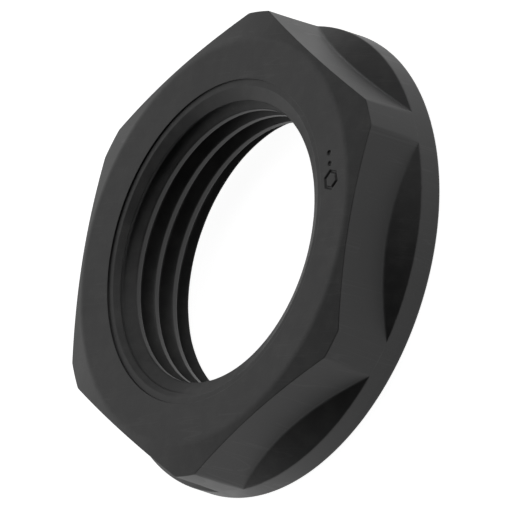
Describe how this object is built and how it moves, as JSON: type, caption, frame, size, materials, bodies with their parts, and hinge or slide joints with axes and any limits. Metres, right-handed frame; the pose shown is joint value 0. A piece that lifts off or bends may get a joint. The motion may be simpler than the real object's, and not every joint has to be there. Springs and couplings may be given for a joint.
{
  "type": "locknut",
  "caption": "Black plastic hexagonal locknut with a round flange and a fine internal thread, for clamping a cable gland in an enclosure wall.",
  "frame": {"origin": "centre of the flange's flat seating face, on the thread axis", "axes": "+Z along the thread axis from the seating face towards the hexagon's front face, -Y square to one spanner flat"},
  "size_m": [0.031, 0.031, 0.0061],
  "materials": {
    "black_polyamide": "satin, as moulded, black polyamide"
  },
  "bodies": {
    "root": {"locknut": "black_polyamide"}
  },
  "joints": []
}
